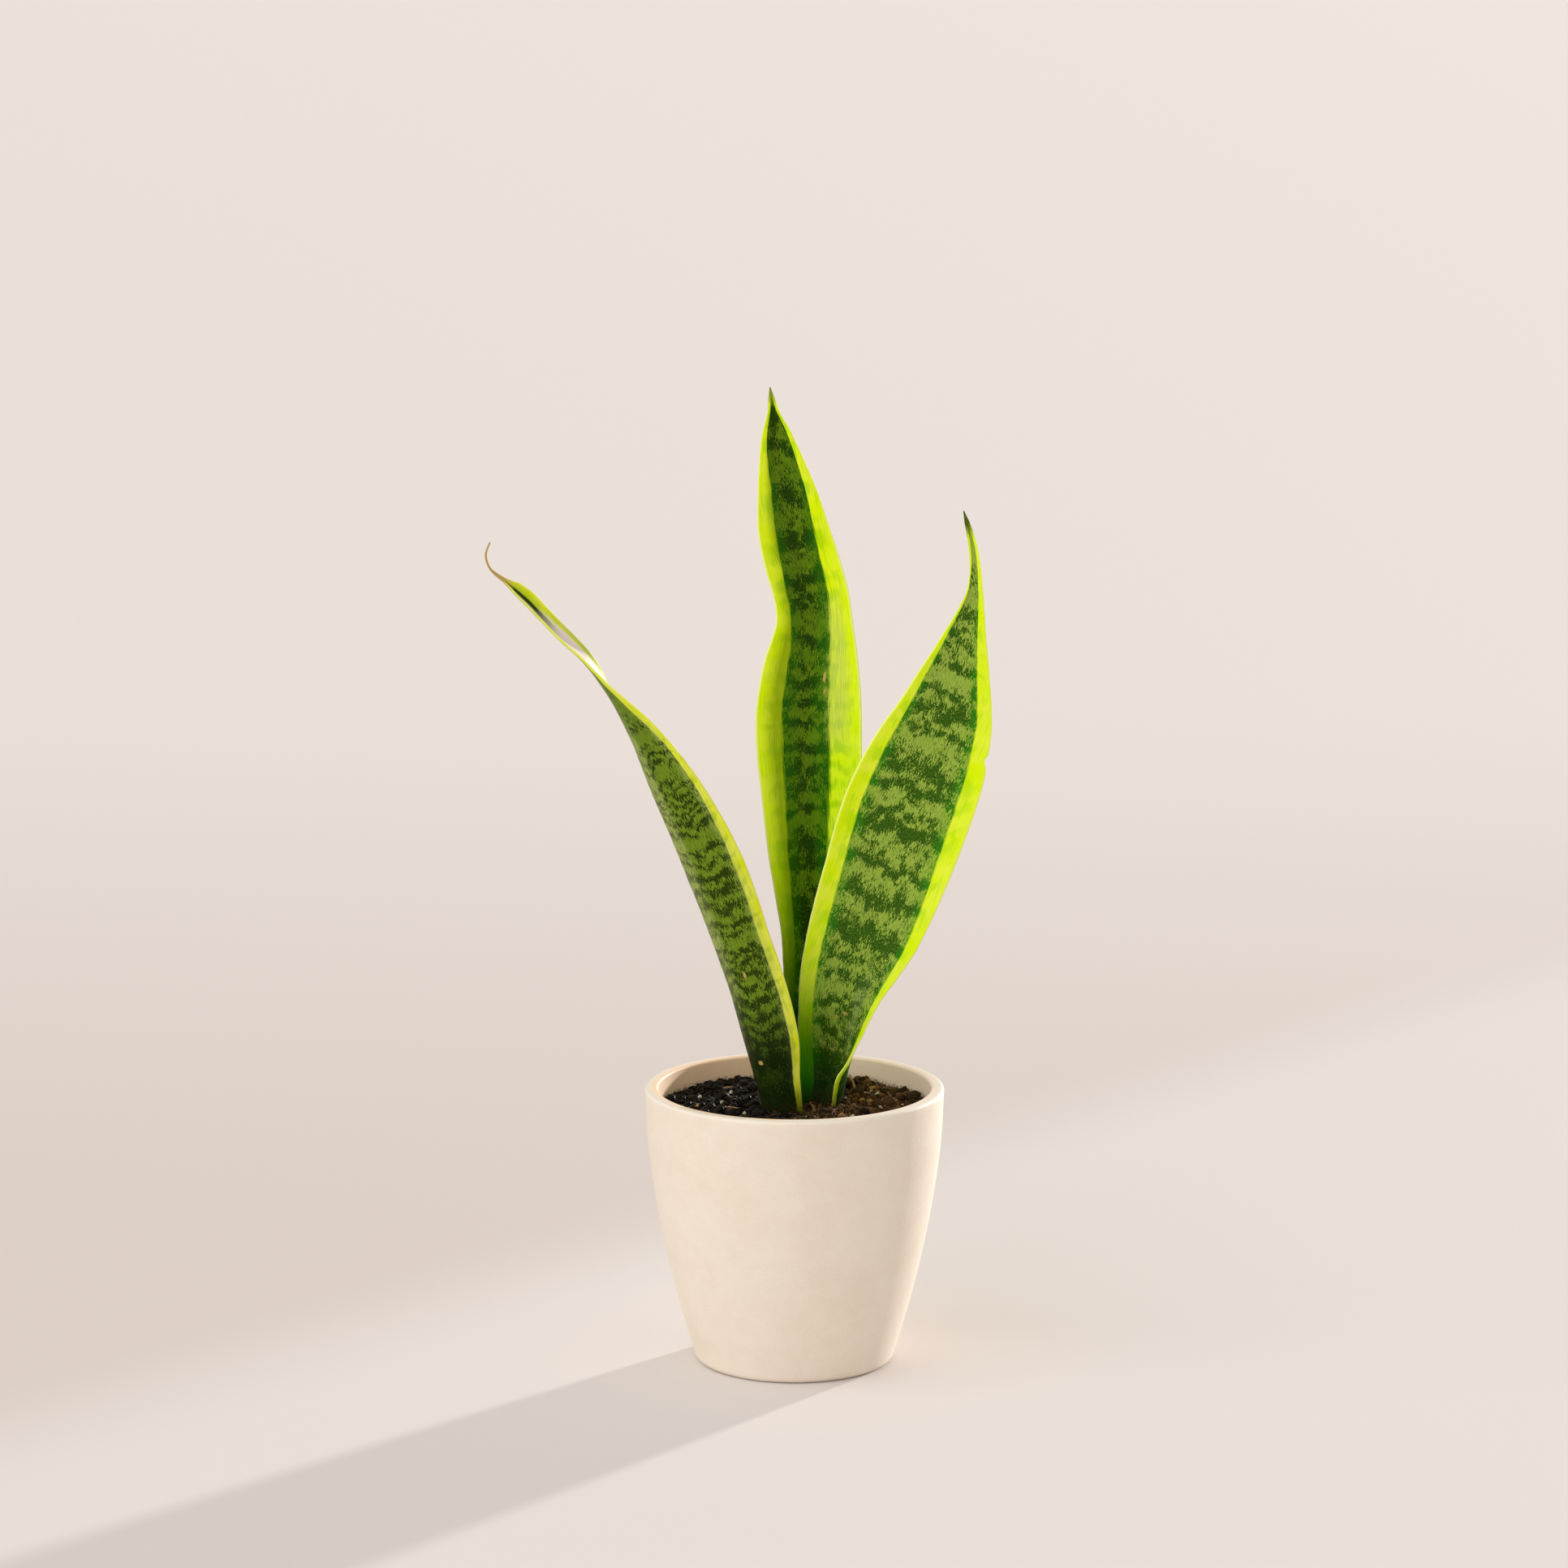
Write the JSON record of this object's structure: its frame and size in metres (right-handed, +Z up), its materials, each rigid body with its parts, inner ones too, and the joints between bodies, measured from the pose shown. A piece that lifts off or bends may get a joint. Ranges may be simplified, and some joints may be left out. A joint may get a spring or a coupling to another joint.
{
  "type": "potted snake plant",
  "caption": "Potted snake plant: upright banded leaves with yellow margins in a round, tapered cream pot filled with soil.",
  "frame": {"origin": "centre of the pot's flat underside, on the surface that the pot stands on", "axes": "+Z up along the pot's axis, -Y towards the front, where the leaves' faces look, +X to the right seen from the front"},
  "size_m": [0.2318, 0.14, 0.4583],
  "materials": {
    "pot_clay": "satin",
    "potting_soil": "matte",
    "rhizome_skin": "matte",
    "root_skin": "matte",
    "banded_leaf": "satin",
    "bark": "matte",
    "perlite": "matte"
  },
  "bodies": {
    "root": {"pot": "pot_clay", "soil": "potting_soil", "rhizome": "rhizome_skin", "root_1": "root_skin", "root_2": "root_skin", "root_3": "root_skin", "root_4": "root_skin", "root_5": "root_skin", "root_6": "root_skin", "leaf_left": "banded_leaf", "leaf_right": "banded_leaf", "leaf_centre": "banded_leaf", "bark_chip_1": "bark", "bark_chip_2": "bark", "bark_chip_3": "bark", "bark_chip_4": "bark", "bark_chip_5": "bark", "bark_chip_6": "bark", "bark_chip_7": "bark", "bark_chip_8": "bark", "perlite_1": "perlite", "perlite_2": "perlite", "perlite_3": "perlite", "perlite_4": "perlite", "perlite_5": "perlite", "perlite_6": "perlite", "perlite_7": "perlite", "perlite_8": "perlite", "perlite_9": "perlite", "perlite_10": "perlite"}
  },
  "joints": []
}
